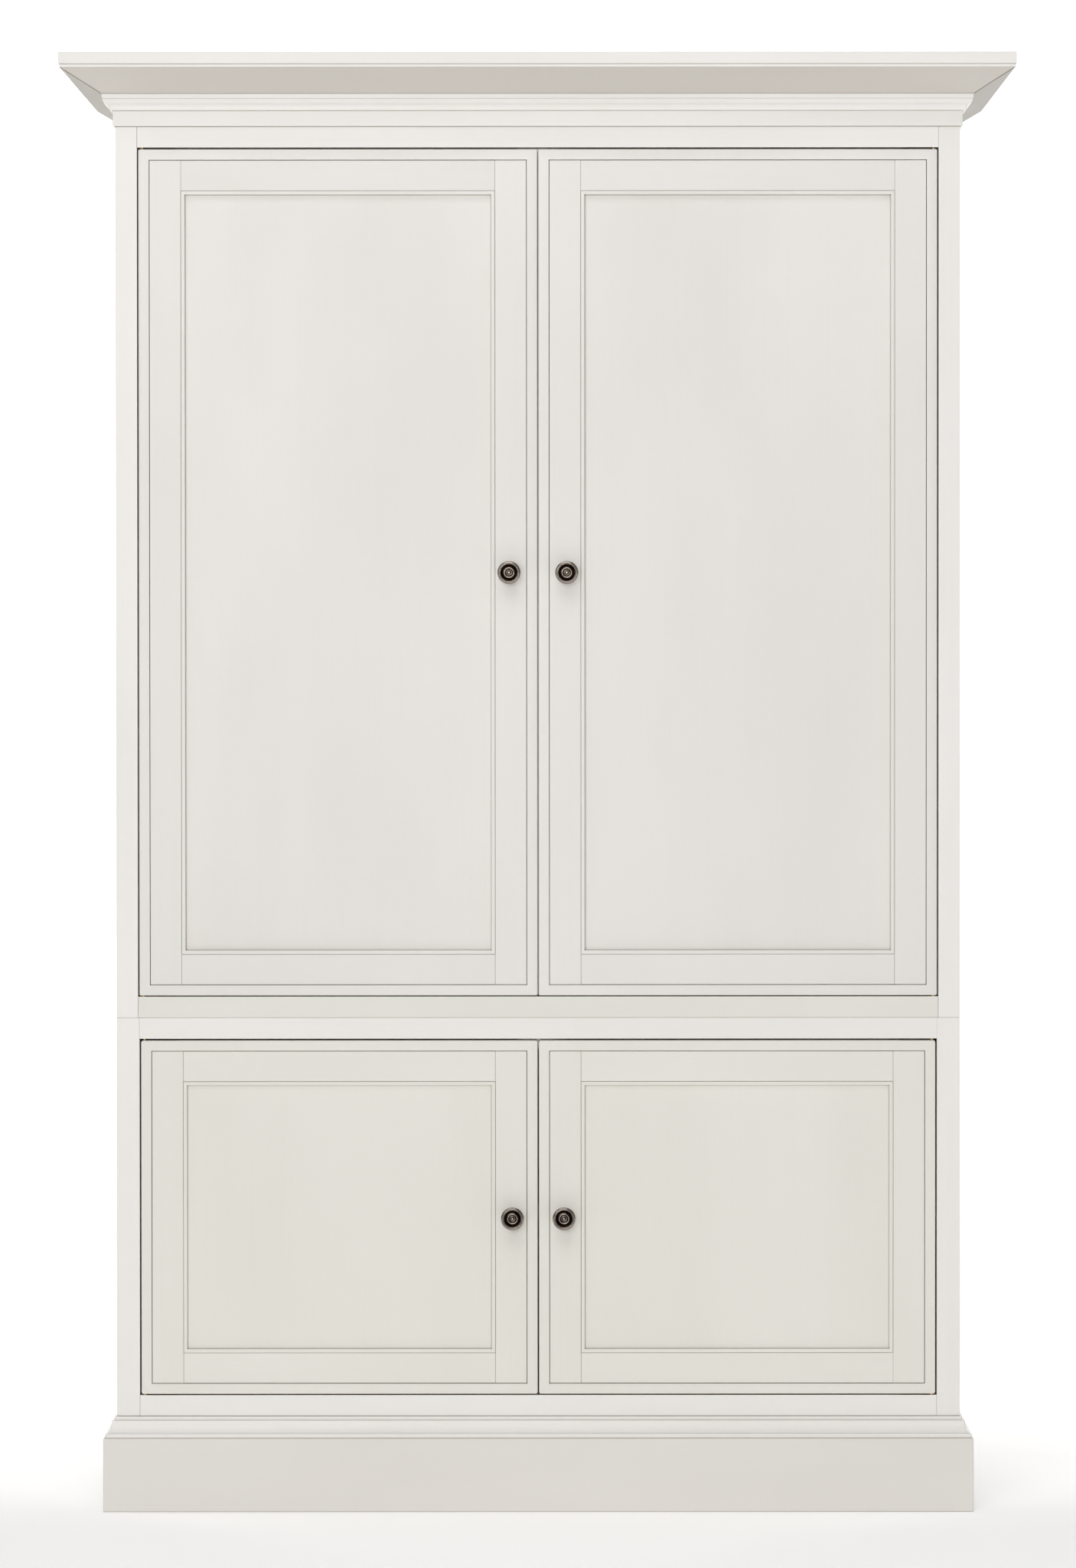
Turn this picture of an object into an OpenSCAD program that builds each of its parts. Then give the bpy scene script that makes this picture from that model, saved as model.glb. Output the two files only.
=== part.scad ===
// Free-standing armoire in two stacked cases. The tall upper case and the low lower case
// each have a face frame and a pair of inset frame-and-panel doors. A plinth with a moulded
// cap carries the lower case, and a sloped crown finishes the upper one.
// Millimetres, +Z up, the front faces -Y, origin on the floor under the middle of the outline.

/* [Cases] */
// Width of both cases over their sides
case_w = 1244; // [900:1:1500]
// Depth of both cases, from the face frame's front to the rear edge of the sides
case_d = 580; // [450:1:700]
// Height of the lower case
lower_case_h = 588.5; // [450:0.5:800]
// Height of the upper case
upper_case_h = 1312; // [1000:0.5:1500]
// Thickness of the sides, tops, bottoms and shelves
board_t = 20; // [16:0.5:25]
// Thickness of the back panels
back_t = 10; // [6:0.5:12]
// How far the back panels lie in front of the rear edge of the sides
back_inset = 8; // [4:0.5:20]
// Depth of the grooves that hold the back panels
back_groove = 8; // [5:0.5:10]

/* [Face frames] */
// Thickness of the face frames
frame_t = 22; // [20:0.5:30]
// Width of the upper face frame's stiles
upper_stile_w = 32; // [26:0.5:60]
// Width of the lower face frame's stiles
lower_stile_w = 34; // [26:0.5:60]
// Height of every face frame rail
rail_h = 31; // [24:0.5:60]

/* [Joints in the wood] */
// Length of a tenon
tenon_l = 18; // [10:0.5:24]
// Thickness of a tenon
tenon_t = 8; // [5:0.5:10]
// How far a tenon's shoulders stand in from the rail's edges
tenon_shoulder = 7; // [3:0.5:9]
// Space round a tenon in its mortise
tenon_gap = 0.2; // [0.1:0.05:0.5]
// Glue line between mitred lengths of one moulding
glue_line = 0.1; // [0.05:0.05:0.3]

/* [Doors] */
// Thickness of a door over its edge bead
door_t = 22; // [18:0.5:22]
// Gap between a door and the face frame at the hinge side
side_gap = 2.5; // [2.4:0.1:4]
// Gap between the two doors of a pair
centre_gap = 2.5; // [2:0.1:5]
// Gap above a door
top_gap = 3; // [2:0.1:5]
// Gap below a door
bottom_gap = 2; // [1.5:0.1:5]
// Width of the raised bead round a door's edge
edge_bead_w = 15.5; // [11:0.5:20]
// How far the edge bead stands in front of the stiles and rails
edge_bead_proud = 1.5; // [0.5:0.1:3]
// Width of a door stile between its two beads
door_stile_w = 46.5; // [38:0.5:90]
// Height of a door rail between its two beads
door_rail_h = 45; // [38:0.5:90]
// Width of the small bead round the panel
panel_bead_w = 5.5; // [4:0.5:12]
// How far the panel bead stands in front of the stiles and rails
panel_bead_proud = 0.6; // [0.2:0.1:1.5]
// Depth from the stile's face to the panel in the upper doors
upper_recess = 8; // [4:0.5:9]
// Depth from the stile's face to the panel in the lower doors
lower_recess = 4.5; // [3:0.5:9]
// Thickness of a door panel
panel_t = 7; // [5:0.5:8]
// How far a panel reaches into its grooves
panel_tongue = 8; // [5:0.5:9]
// Room for a panel to move in its grooves
panel_float = 0.5; // [0.2:0.1:2]

/* [Knobs] */
// Diameter of a knob's head
knob_d = 34; // [26:0.5:40]
// How far a knob of the upper doors stands in from the middle of its stile
upper_knob_in = 2.5; // [-4:0.5:4]
// How far a knob of the lower doors stands in from the middle of its stile
lower_knob_in = -2; // [-4:0.5:4]
// How far a knob stands out from the stile
knob_out = 27; // [22:0.5:36]
// Diameter of the knob's foot on the stile
knob_foot_d = 20; // [14:0.5:26]
// Diameter of the knob's neck
knob_neck_d = 12; // [10:0.5:16]
// Thickness of the knob's foot
knob_foot_t = 2.5; // [1.5:0.5:4]
// Thickness of the knob's head at its rim
knob_rim_t = 5; // [3:0.5:8]
// Width of the rim that runs round the knob's face
knob_rim_w = 3; // [2:0.5:4]
// Depth of the ring grooves in the knob's face
knob_groove = 1.6; // [0.8:0.1:2.5]
// Diameter of the raised ring in the knob's face
knob_ring_d = 16; // [15:0.5:20]
// Diameter of the button in the middle of the knob
knob_button_d = 6; // [5:0.5:8]
// Size of the eased edges on the knob
knob_ease = 1; // [0.5:0.1:1.2]
// Height of the flare from the neck out to the head
knob_flare = 4; // [2:0.5:6]
// Diameter of the knob's screw
knob_screw_d = 4; // [3:0.5:5]
// Diameter of the head of the knob's screw
screw_head_d = 8; // [6:0.5:10]
// Thickness of the head of the knob's screw
screw_head_t = 2.2; // [1.5:0.1:3]
// How far the knob's screw reaches into the knob
screw_bite = 12; // [6:0.5:15]

/* [Door hinges] */
// Distance of the pivot from the door's edge and from its front face
pivot_in = 5; // [4.5:0.1:5.2]
// Width of the hinge leaves and plates
leaf_w = 7; // [6.5:0.5:8]
// Thickness of the hinge leaves and plates
leaf_t = 2.5; // [2:0.5:4]
// Length of the hinge leaves and plates from the pivot
leaf_l = 48; // [30:1:80]
// Diameter of the hinge pins
hinge_pin_d = 4; // [3:0.5:5]
// Running clearance round a hinge pin
pin_clearance = 0.05; // [0.02:0.01:0.1]
// Width of the shoulder round the lower pins that carries the door
shoulder_w = 1.2; // [0.8:0.1:1.4]
// Play between the shoulder and the leaf it carries
shoulder_play = 0.1; // [0.05:0.05:0.3]
// Space between the end of a pin and the wood behind the leaf
pin_end_gap = 0.3; // [0.2:0.1:0.8]

/* [Catches] */
// Width of a magnetic catch, which serves both doors of a pair
catch_w = 60; // [50:1:90]
// Depth of a magnetic catch
catch_d = 16; // [12:1:24]
// How far a catch reaches down behind the doors
catch_overlap = 14; // [10:0.5:20]
// Width of a door's steel strike plate
strike_w = 26; // [15:1:28]
// Height of a strike plate
strike_h = 12; // [8:0.5:13]
// Thickness of a strike plate
strike_t = 1.5; // [1:0.1:2]
// How far a strike plate lies in from the door's edges
strike_edge = 2; // [1:0.5:6]
// Space between a strike plate and the magnet
magnet_gap = 0.5; // [0.4:0.1:1]

/* [Shelves and rod] */
// Height of the upper shelf's underside above the floor of the upper case
upper_shelf_up = 950; // [600:1:960]
// Height of the lower shelf's underside above the floor of the lower case
lower_shelf_up = 260; // [150:1:270]
// How far a shelf's front edge lies behind the face frame
shelf_setback = 8; // [5:1:80]
// Space at the ends and the back of a shelf
shelf_gap = 1; // [0.5:0.5:3]
// Diameter of a shelf pin
shelf_pin_d = 5; // [4:0.5:7]
// How deep a shelf pin sits in the side
shelf_pin_in = 10; // [6:0.5:12]
// How far a shelf pin stands out under the shelf
shelf_pin_out = 9; // [6:0.5:15]
// Space round a shelf pin in its hole
shelf_pin_gap = 0.1; // [0.05:0.05:0.2]
// Distance of the shelf pins from the front and rear edges of the shelf
shelf_pin_edge = 60; // [30:1:120]
// Spacing of the pin holes above one another
pin_hole_pitch = 32; // [20:1:50]
// Rows of pin holes, with the shelf on the middle row
pin_hole_rows = 5; // [1:2:7]
// Outer diameter of the hanging rod
rod_d = 25; // [20:1:32]
// Wall of the hanging rod
rod_wall = 1.5; // [1:0.5:3]
// Distance from the upper shelf's underside to the middle of the rod
rod_drop = 55; // [40:1:90]
// Wall of the cup that holds a rod end
cup_wall = 2.5; // [2:0.5:4]
// Length of the cup that holds a rod end
cup_l = 14; // [8:1:25]
// Thickness of the cup's flange
cup_flange_t = 3; // [2:0.5:5]
// Width of the cup's flange round the cup
cup_flange_w = 9; // [6:0.5:15]
// Space round a rod end in its cup
rod_gap = 0.3; // [0.2:0.1:0.6]

/* [Bolts between the cases] */
// Diameter of a case bolt
bolt_d = 8; // [6:1:10]
// Space round a case bolt in its holes
bolt_gap = 0.25; // [0.1:0.05:0.5]
// Diameter of a case bolt's head and of its nut
bolt_head_d = 18; // [14:1:24]
// Thickness of a case bolt's head
bolt_head_t = 3; // [2:0.5:5]
// Thickness of a case bolt's nut
bolt_nut_t = 6; // [4:0.5:9]
// Clearance between a case bolt and its nut
nut_clearance = 0.05; // [0.02:0.01:0.1]
// Distance of the bolts from the sides, the face frame and the back
bolt_edge = 70; // [40:1:120]

/* [Plinth] */
// Height of the plinth boards
plinth_h = 108.5; // [60:0.5:160]
// Thickness of the plinth boards
plinth_t = 22; // [18:0.5:30]
// How far the plinth stands out from the case
plinth_proud = 19; // [18:0.5:30]
// Width of the plinth cap inside the case's face
cap_in = 22; // [20:0.5:60]
// How far the cap's top fillet stands out from the case
cap_top_proud = 3; // [1:0.5:4]
// Height of the cap's top fillet
cap_top_h = 5.5; // [3:0.5:8]
// How far the cap's second fillet stands out from the case
cap_step_proud = 7; // [5:0.5:9]
// Height of the cap's second fillet
cap_step_h = 5; // [3:0.5:8]
// Height of the cap's hollow
cap_cove_h = 14; // [8:0.5:20]
// How far the cap's bottom fillet stands out from the case
cap_foot_proud = 16; // [12:0.5:17.5]
// Height of the cap's bottom fillet
cap_foot_h = 6; // [3:0.5:10]

/* [Crown] */
// How far the crown overhangs the case at the front and the sides
crown_over = 77; // [50:1:110]
// Height of the flat frieze that shows under the bead moulding
frieze_h = 23; // [15:0.5:60]
// Thickness of the frieze boards
frieze_t = 20; // [16:0.5:25]
// How far the frieze stands out from the case
frieze_proud = 3.5; // [2:0.5:8]
// Height of the bead moulding
bead_h = 23.5; // [20:0.5:35]
// How far the bead moulding stands out from the frieze
bead_proud = 15.5; // [14:0.5:22]
// Height of the bead moulding's top fillet
bead_fillet_h = 7.3; // [5:0.1:9]
// How far the round under the top fillet is set back from it
bead_quirk = 1.2; // [0.5:0.1:2]
// Height of the round
bead_round_h = 7; // [5:0.5:8]
// How far the round curves in towards its foot
round_run = 5; // [3:0.5:6]
// How far the bead moulding's bottom fillet stands out from the frieze
bead_foot_proud = 5; // [3:0.5:7]
// Height of the bead moulding's bottom fillet
bead_foot_h = 6; // [4:0.5:7]
// Rise of the sloped crown from the bead moulding to its lip
crown_rise = 33; // [20:0.5:60]
// Thickness of the sloped crown board
crown_t = 18; // [14:0.5:22]
// Height of the lip at the crown's outer edge
lip_h = 4.5; // [3:0.5:8]
// How far the lip lies behind the edge of the top board
lip_set = 1.5; // [0.5:0.5:4]
// Thickness of the top board
top_t = 17.5; // [12:0.5:25]

/* [Hidden] */
// Names for the two levels and the two sides
LOWER = 0;
UPPER = 1;
LEFT = -1;
RIGHT = 1;
// Flats on an arc in a moulding's outline
arc_steps = 8;
// How far a cut, or a piece that runs into another, goes past the face between them
cut = 1;
$fn = 64;

// Outline of the whole armoire
total_w = case_w + 2 * crown_over;
total_d = case_d + crown_over;
cap_h = cap_top_h + cap_step_h + cap_cove_h + cap_foot_h;

// Planes from front to back
y_front = crown_over - total_d / 2;
y_frame = y_front + frame_t;
y_rear = total_d / 2;
y_back = y_rear - back_inset - back_t;

// Heights from the floor up
z_lower = plinth_h + cap_h;
z_upper = z_lower + lower_case_h;
z_frieze = z_upper + upper_case_h;
z_bead = z_frieze + frieze_h;
z_slope = z_bead + bead_h;
z_lip = z_slope + crown_rise;
z_top = z_lip + lip_h;

inner_w = case_w - 2 * board_t;
function case_z(level) = level == UPPER ? z_upper : z_lower;
function case_h(level) = level == UPPER ? upper_case_h : lower_case_h;
function stile_w(level) = level == UPPER ? upper_stile_w : lower_stile_w;
function recess(level) = level == UPPER ? upper_recess : lower_recess;
function floor_z(level) = case_z(level) + rail_h;
function shelf_z(level) = floor_z(level) + (level == UPPER ? upper_shelf_up : lower_shelf_up);

// Doors: places inside a door count from its hinge edge, front face and bottom edge
function opening_w(level) = case_w - 2 * stile_w(level);
function door_w(level) = (opening_w(level) - 2 * side_gap - centre_gap) / 2;
function door_h(level) = case_h(level) - 2 * rail_h - top_gap - bottom_gap;
function door_z(level) = case_z(level) + rail_h + bottom_gap;
door_core_t = door_t - edge_bead_proud;
panel_x = edge_bead_w + door_stile_w;
panel_z = edge_bead_w + door_rail_h;
function knob_in(level) = level == UPPER ? upper_knob_in : lower_knob_in;
function knob_x(level) = door_w(level) - edge_bead_w - door_stile_w / 2 - knob_in(level);
function knob_z(level) = door_h(level) / 2;

// The sloped face of the crown, as its height over a distance out from the case
lip_out = crown_over - lip_set;
bead_out = frieze_proud + bead_proud;
slope = crown_rise / (lip_out - bead_out);
crown_t_up = crown_t * sqrt(1 + slope * slope);
function slope_z(out) = z_lip - (lip_out - out) * slope;

// ---- colours ----
module painted() { color([0.90, 0.88, 0.85]) children(); }
module inside_painted() { color([0.87, 0.85, 0.81]) children(); }
module pewter() { color([0.33, 0.31, 0.29]) children(); }
module steel() { color([0.70, 0.70, 0.70]) children(); }
module brass() { color([0.72, 0.58, 0.32]) children(); }

// ---- helpers ----
// A box from one corner to the opposite one
module box(low, high) {
    translate(low) cube(high - low);
}

// The children, and the same again on the other side of the middle
module both_sides() {
    children();
    mirror([1, 0, 0]) children();
}

// Children drawn for a left-hand door, put where the named door hangs
module in_door(level, side) {
    if (side == LEFT)
        translate([side_gap + stile_w(level) - case_w / 2, y_front, door_z(level)]) children();
    else
        mirror([1, 0, 0]) in_door(level, LEFT) children();
}

// An upright outline, x across and y up, given a thickness from y0 back to y1
module upright(points, y0, y1) {
    translate([0, y1, 0]) rotate([90, 0, 0]) linear_extrude(y1 - y0) polygon(points);
}

// Four mitred lengths of width b round the inside of a w by h rectangle, from y0 to y1
module mitred_ring(w, h, b, y0, y1) {
    g = glue_line / 2;
    upright([[g, 0], [w - g, 0], [w - b - g, b], [b + g, b]], y0, y1);
    upright([[b + g, h - b], [w - b - g, h - b], [w - g, h], [g, h]], y0, y1);
    upright([[0, g], [b, b + g], [b, h - b - g], [0, h - g]], y0, y1);
    upright([[w - b, b + g], [w, g], [w, h - g], [w - b, h - b - g]], y0, y1);
}

// A moulding across the front, mitred at both ends. Its outline is a list of points,
// each a distance out from the case and a height; it lies between out_min and out_max.
module front_moulding(outline, out_min, out_max) {
    half = case_w / 2 - glue_line / 2;
    low = min([for (p = outline) p[1]]) - cut;
    high = max([for (p = outline) p[1]]) + cut;
    intersection() {
        translate([-total_w, y_front, 0]) rotate([90, 0, 90]) linear_extrude(2 * total_w)
            polygon([for (p = outline) [-p[0], p[1]]]);
        translate([0, y_front, low]) linear_extrude(high - low)
            polygon([
                [-half - out_max, -out_max], [half + out_max, -out_max],
                [half + out_min, -out_min], [-half - out_min, -out_min]
            ]);
    }
}

// The same moulding along the right-hand side, mitred at the front and square at the back
module side_moulding(outline, out_min, out_max) {
    low = min([for (p = outline) p[1]]) - cut;
    high = max([for (p = outline) p[1]]) + cut;
    mitre_y = y_front + glue_line / 2;
    intersection() {
        translate([case_w / 2, y_rear, 0]) rotate([90, 0, 0]) linear_extrude(2 * total_d)
            polygon(outline);
        translate([case_w / 2, 0, low]) linear_extrude(high - low)
            polygon([
                [out_max, mitre_y - out_max], [out_max, y_rear],
                [out_min, y_rear], [out_min, mitre_y - out_min]
            ]);
    }
}

// A plain length across the back, between the side lengths
module back_length(inside_out, thickness, z0, z1) {
    half = case_w / 2 + inside_out - glue_line;
    box([-half, y_rear - thickness, z0], [half, y_rear, z1]);
}

// ---- plinth ----
function rectangle(out0, out1, z0, z1) = [[out0, z0], [out1, z0], [out1, z1], [out0, z1]];
plinth_outline = rectangle(plinth_proud - plinth_t, plinth_proud, 0, plinth_h);

module plinth_boards() {
    painted() {
        front_moulding(plinth_outline, plinth_proud - plinth_t, plinth_proud);
        both_sides() side_moulding(plinth_outline, plinth_proud - plinth_t, plinth_proud);
        back_length(plinth_proud - plinth_t, plinth_t, 0, plinth_h);
    }
}

// Heights of the steps in the cap, and its outline with the hollow as a quarter of an ellipse
z_cap_step = z_lower - cap_top_h;
z_cove_top = z_cap_step - cap_step_h;
z_cove_bottom = z_cove_top - cap_cove_h;
cove_run = cap_foot_proud - cap_step_proud;
cap_cove = [for (i = [0 : arc_steps]) let (a = 90 * i / arc_steps)
    [cap_foot_proud - cove_run * cos(a), z_cove_top - cap_cove_h * sin(a)]];
cap_outline = concat(
    [[-cap_in, plinth_h], [-cap_in, z_lower], [cap_top_proud, z_lower],
     [cap_top_proud, z_cap_step], [cap_step_proud, z_cap_step]],
    cap_cove,
    [[cap_foot_proud, plinth_h]]
);

module plinth_cap() {
    painted() {
        front_moulding(cap_outline, -cap_in, cap_foot_proud);
        both_sides() side_moulding(cap_outline, -cap_in, cap_foot_proud);
        back_length(-cap_in, cap_in, plinth_h, z_lower);
    }
}

// ---- cases ----
// The back panel's edge, as the groove needs it
module back_board(level, extra) {
    half = inner_w / 2 + back_groove - extra;
    box([-half, y_back, case_z(level)], [half, y_back + back_t, case_z(level) + case_h(level)]);
}

// Places of the shelf pins from front to back
function shelf_front() = y_frame + shelf_setback;
function shelf_rear() = y_back - shelf_gap;
function pin_rows_y() = [shelf_front() + shelf_pin_edge, shelf_rear() - shelf_pin_edge];
function pin_z(level) = shelf_z(level) - shelf_pin_d / 2;

module case_side(level) {
    half_rows = (pin_hole_rows - 1) / 2;
    inside_painted() difference() {
        box([inner_w / 2, y_frame, case_z(level)],
            [case_w / 2, y_rear, case_z(level) + case_h(level)]);
        back_board(level, 0);
        for (y = pin_rows_y(), row = [-half_rows : half_rows])
            translate([inner_w / 2, y, pin_z(level) + row * pin_hole_pitch]) rotate([0, 90, 0])
                translate([0, 0, -cut])
                    cylinder(h = shelf_pin_in + cut, d = shelf_pin_d + 2 * shelf_pin_gap);
    }
}

module case_back(level) {
    inside_painted() back_board(level, shelf_gap / 2);
}

// A board across the case between its sides, from the face frame to the back panel
module cross_board(z) {
    box([-inner_w / 2, y_frame, z], [inner_w / 2, y_back, z + board_t]);
}

// Bolts go down through the upper case's bottom and the lower case's top
module at_bolts() {
    for (x = [-1, 1], y = [y_frame + bolt_edge, y_back - bolt_edge])
        translate([x * (inner_w / 2 - bolt_edge), y, 0]) children();
}

module bolt_holes() {
    at_bolts() translate([0, 0, z_upper - board_t - cut])
        cylinder(h = rail_h + board_t + 2 * cut, d = bolt_d + 2 * bolt_gap);
}

module case_top(level) {
    inside_painted() difference() {
        cross_board(case_z(level) + case_h(level) - board_t);
        if (level == LOWER)
            bolt_holes();
    }
}

module case_bottom(level) {
    inside_painted() difference() {
        cross_board(floor_z(level) - board_t);
        if (level == UPPER)
            bolt_holes();
    }
}

module shelf(level) {
    half = inner_w / 2 - shelf_gap;
    inside_painted()
        box([-half, shelf_front(), shelf_z(level)], [half, shelf_rear(), shelf_z(level) + board_t]);
}

// ---- face frames ----
// One tenon block on the middle of the thickness, with extra room all round
module face_tenon(level, z, extra) {
    x = case_w / 2 - stile_w(level);
    y = y_front + (frame_t - tenon_t) / 2;
    box([x - cut, y - extra, z + tenon_shoulder - extra],
        [x + tenon_l + extra, y + tenon_t + extra, z + rail_h - tenon_shoulder + extra]);
}

function face_rails_z(level) = [case_z(level), case_z(level) + case_h(level) - rail_h];

module face_stiles(level) {
    painted() both_sides() difference() {
        box([case_w / 2 - stile_w(level), y_front, case_z(level)],
            [case_w / 2, y_frame, case_z(level) + case_h(level)]);
        for (z = face_rails_z(level))
            face_tenon(level, z, tenon_gap);
    }
}

module face_rails(level) {
    half = opening_w(level) / 2;
    painted() difference() {
        for (z = face_rails_z(level)) {
            box([-half, y_front, z], [half, y_frame, z + rail_h]);
            both_sides() face_tenon(level, z, 0);
        }
        for (side = [LEFT, RIGHT])
            in_door(level, side) plate_pockets(level);
    }
}

// ---- shelf pins, hanging rod, bolts ----
module shelf_pins() {
    steel() both_sides() for (level = [LOWER, UPPER], y = pin_rows_y())
        translate([inner_w / 2 - shelf_pin_out, y, pin_z(level)]) rotate([0, 90, 0])
            cylinder(h = shelf_pin_out + shelf_pin_in, d = shelf_pin_d);
}

rod_z = shelf_z(UPPER) - rod_drop;
rod_y = (y_frame + y_back) / 2;
rod_half = inner_w / 2 - cup_flange_t - rod_gap;
cup_d = rod_d + 2 * rod_gap + 2 * cup_wall;

module hanging_rod() {
    steel() translate([-rod_half, rod_y, rod_z]) rotate([0, 90, 0]) difference() {
        cylinder(h = 2 * rod_half, d = rod_d);
        translate([0, 0, -cut])
            cylinder(h = 2 * (rod_half + cut), d = rod_d - 2 * rod_wall);
    }
}

module rod_sockets() {
    steel() both_sides() translate([inner_w / 2, rod_y, rod_z]) rotate([0, -90, 0]) difference() {
        union() {
            cylinder(h = cup_flange_t, d = cup_d + 2 * cup_flange_w);
            cylinder(h = cup_flange_t + cup_l, d = cup_d);
        }
        translate([0, 0, cup_flange_t]) cylinder(h = cup_l + cut, d = rod_d + 2 * rod_gap);
    }
}

module case_bolts() {
    z_head = floor_z(UPPER);
    z_nut = z_upper - board_t - bolt_nut_t;
    steel() at_bolts() {
        translate([0, 0, z_head]) cylinder(h = bolt_head_t, d = bolt_head_d);
        translate([0, 0, z_nut]) cylinder(h = z_head - z_nut, d = bolt_d);
        translate([0, 0, z_nut]) difference() {
            cylinder(h = bolt_nut_t, d = bolt_head_d);
            translate([0, 0, -cut])
                cylinder(h = bolt_nut_t + 2 * cut, d = bolt_d + 2 * nut_clearance);
        }
    }
}

// ---- hinges ----
// The flat bar of a leaf or a plate: a round end on the pivot and a tail along the door.
// A pocket for it has extra room round it and runs on below or above it, where it is open.
module hinge_bar(extra = 0, below = 0, above = 0) {
    h = below + leaf_t + above;
    translate([0, 0, -below]) {
        cylinder(h = h, d = leaf_w + 2 * extra);
        translate([0, -leaf_w / 2 - extra, 0]) cube([leaf_l + extra, leaf_w + 2 * extra, h]);
    }
}

module at_top_plate(level) {
    translate([pivot_in, pivot_in, door_h(level) + top_gap]) children();
}

module at_bottom_plate(level) {
    translate([pivot_in, pivot_in, -bottom_gap - leaf_t]) children();
}

module at_bottom_leaf(level) {
    translate([pivot_in, pivot_in, 0]) children();
}

module at_top_leaf(level) {
    translate([pivot_in, pivot_in, door_h(level) - leaf_t]) children();
}

// The pockets for the leaves in the door's edge, and for the plates in the face frame
module leaf_pockets(level) {
    at_bottom_leaf(level) hinge_bar(extra = tenon_gap, below = cut);
    at_top_leaf(level) hinge_bar(extra = tenon_gap, above = cut);
}

module plate_pockets(level) {
    at_bottom_plate(level) hinge_bar(extra = tenon_gap, above = cut);
    at_top_plate(level) hinge_bar(extra = tenon_gap, below = cut);
}

module hinge_plates() {
    shoulder_h = bottom_gap - shoulder_play;
    brass() for (level = [LOWER, UPPER], side = [LEFT, RIGHT]) in_door(level, side) {
        at_top_plate(level) {
            hinge_bar();
            translate([0, 0, pin_end_gap - leaf_t - top_gap])
                cylinder(h = leaf_t + top_gap, d = hinge_pin_d);
        }
        at_bottom_plate(level) {
            hinge_bar();
            cylinder(h = 2 * leaf_t + bottom_gap - pin_end_gap, d = hinge_pin_d);
            translate([0, 0, leaf_t])
                cylinder(h = shoulder_h, d = hinge_pin_d + 2 * shoulder_w);
        }
    }
}

module hinge_leaf() {
    difference() {
        hinge_bar();
        translate([0, 0, -cut])
            cylinder(h = leaf_t + 2 * cut, d = hinge_pin_d + 2 * pin_clearance);
    }
}

module door_hinge_leaves(level, side) {
    brass() in_door(level, side) {
        at_bottom_leaf(level) hinge_leaf();
        at_top_leaf(level) hinge_leaf();
    }
}

// ---- catches ----
module magnetic_catches() {
    y = y_front + door_t + strike_t + magnet_gap;
    steel() for (level = [LOWER, UPPER])
        box([-catch_w / 2, y, door_z(level) + door_h(level) - catch_overlap],
            [catch_w / 2, y + catch_d, case_z(level) + case_h(level) - board_t]);
}

module door_strike_plate(level, side) {
    x = door_w(level) - strike_edge;
    z = door_h(level) - strike_edge;
    steel() in_door(level, side)
        box([x - strike_w, door_t, z - strike_h], [x, door_t + strike_t, z]);
}

// ---- doors ----
function door_rails_z(level) = [edge_bead_w, door_h(level) - edge_bead_w - door_rail_h];
function panel_y(level) = edge_bead_proud + recess(level);

// The panel's outline in the door, grown into its grooves by a tongue
module panel_board(level, tongue, thickness) {
    box([panel_x - tongue, panel_y(level), panel_z - tongue],
        [door_w(level) - panel_x + tongue, panel_y(level) + thickness,
         door_h(level) - panel_z + tongue]);
}

module panel_groove(level) {
    panel_board(level, panel_tongue, panel_t + tenon_gap);
}

// Tenons at both ends of a door rail, with extra room all round
module door_tenons(level, z, extra) {
    y = edge_bead_proud + (door_core_t - tenon_t) / 2;
    for (x = [[panel_x - tenon_l - extra, panel_x + cut],
              [door_w(level) - panel_x - cut, door_w(level) - panel_x + tenon_l + extra]])
        box([x[0], y - extra, z + tenon_shoulder - extra],
            [x[1], y + tenon_t + extra, z + door_rail_h - panel_tongue - tenon_shoulder + extra]);
}

module knob_screw_hole(level) {
    translate([knob_x(level), door_t + cut, knob_z(level)]) rotate([90, 0, 0])
        cylinder(h = door_t + 2 * cut, d = knob_screw_d + 2 * bolt_gap);
}

// The tenons lie nearer the outer edge, clear of the panel's groove
function tenon_z(level, i) = door_rails_z(level)[i] + i * panel_tongue;

module door_stiles(level, side) {
    painted() in_door(level, side) difference() {
        for (x = [edge_bead_w, door_w(level) - panel_x])
            box([x, edge_bead_proud, edge_bead_w],
                [x + door_stile_w, door_t, door_h(level) - edge_bead_w]);
        panel_groove(level);
        for (i = [0, 1])
            door_tenons(level, tenon_z(level, i), tenon_gap);
        knob_screw_hole(level);
    }
}

module door_rails(level, side) {
    painted() in_door(level, side) difference() {
        for (i = [0, 1]) {
            z = door_rails_z(level)[i];
            box([panel_x, edge_bead_proud, z], [door_w(level) - panel_x, door_t, z + door_rail_h]);
            door_tenons(level, tenon_z(level, i), 0);
        }
        panel_groove(level);
    }
}

module door_panel(level, side) {
    painted() in_door(level, side) panel_board(level, panel_tongue - panel_float, panel_t);
}

module door_edge_bead(level, side) {
    painted() in_door(level, side) difference() {
        mitred_ring(door_w(level), door_h(level), edge_bead_w, 0, door_t);
        leaf_pockets(level);
    }
}

module door_panel_bead(level, side) {
    painted() in_door(level, side) translate([panel_x, 0, panel_z])
        mitred_ring(door_w(level) - 2 * panel_x, door_h(level) - 2 * panel_z, panel_bead_w,
                    edge_bead_proud - panel_bead_proud, panel_y(level));
}

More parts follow.
